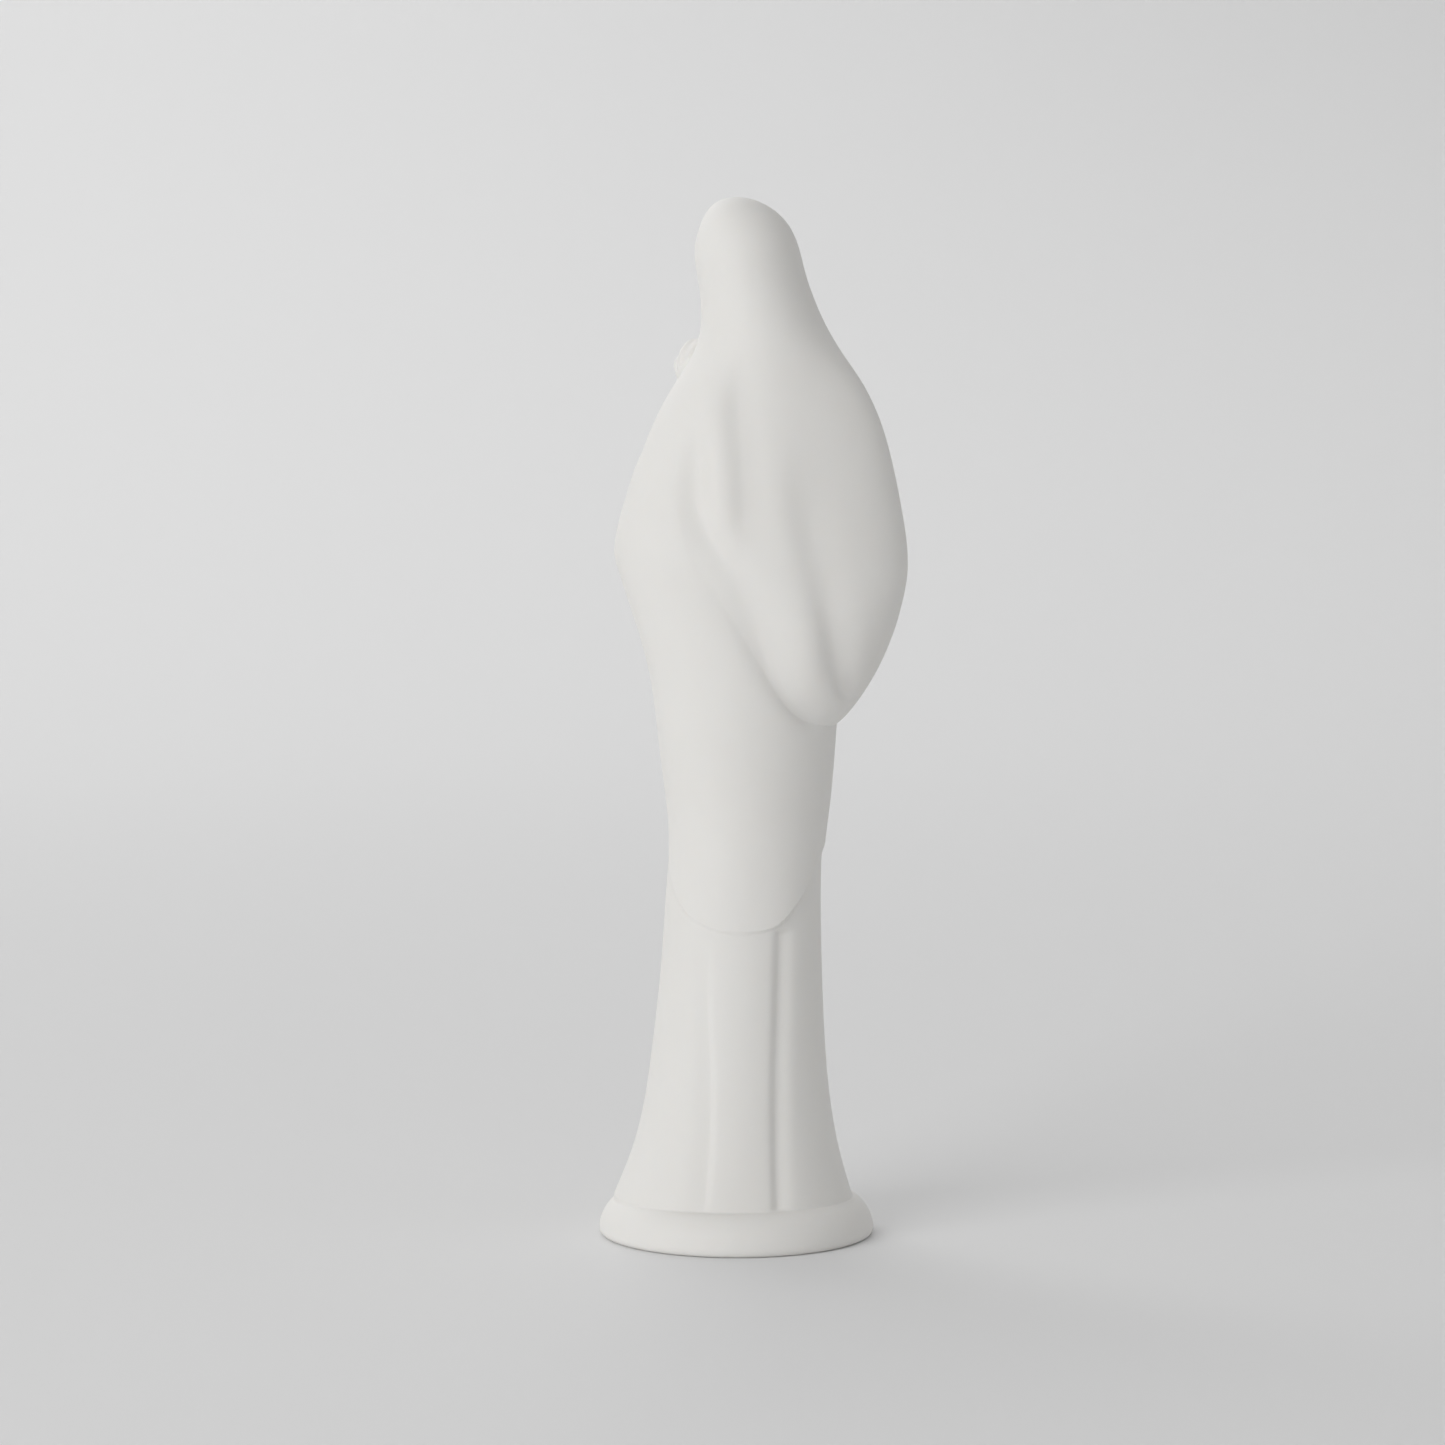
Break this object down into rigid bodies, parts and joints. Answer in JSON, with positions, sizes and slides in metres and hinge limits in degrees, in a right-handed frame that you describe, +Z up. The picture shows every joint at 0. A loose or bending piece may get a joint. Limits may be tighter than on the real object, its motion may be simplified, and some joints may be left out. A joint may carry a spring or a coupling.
{
  "type": "virgin and child statue",
  "caption": "Slender porcelain statuette of the Virgin holding the Child, veiled and wrapped in a mantle, cast as one with a low round foot.",
  "frame": {"origin": "centre of the round foot's flat underside, on the surface that the statuette stands on", "axes": "+Z up through the crown of the veil, the Virgin looks along -Y, and her left arm, which holds the Child, is on +X"},
  "size_m": [0.0829, 0.0744, 0.28],
  "materials": {
    "bisque": "matt unglazed bisque porcelain, warm white, very fine grain"
  },
  "bodies": {
    "root": {"virgin_and_child": "bisque"}
  },
  "joints": []
}
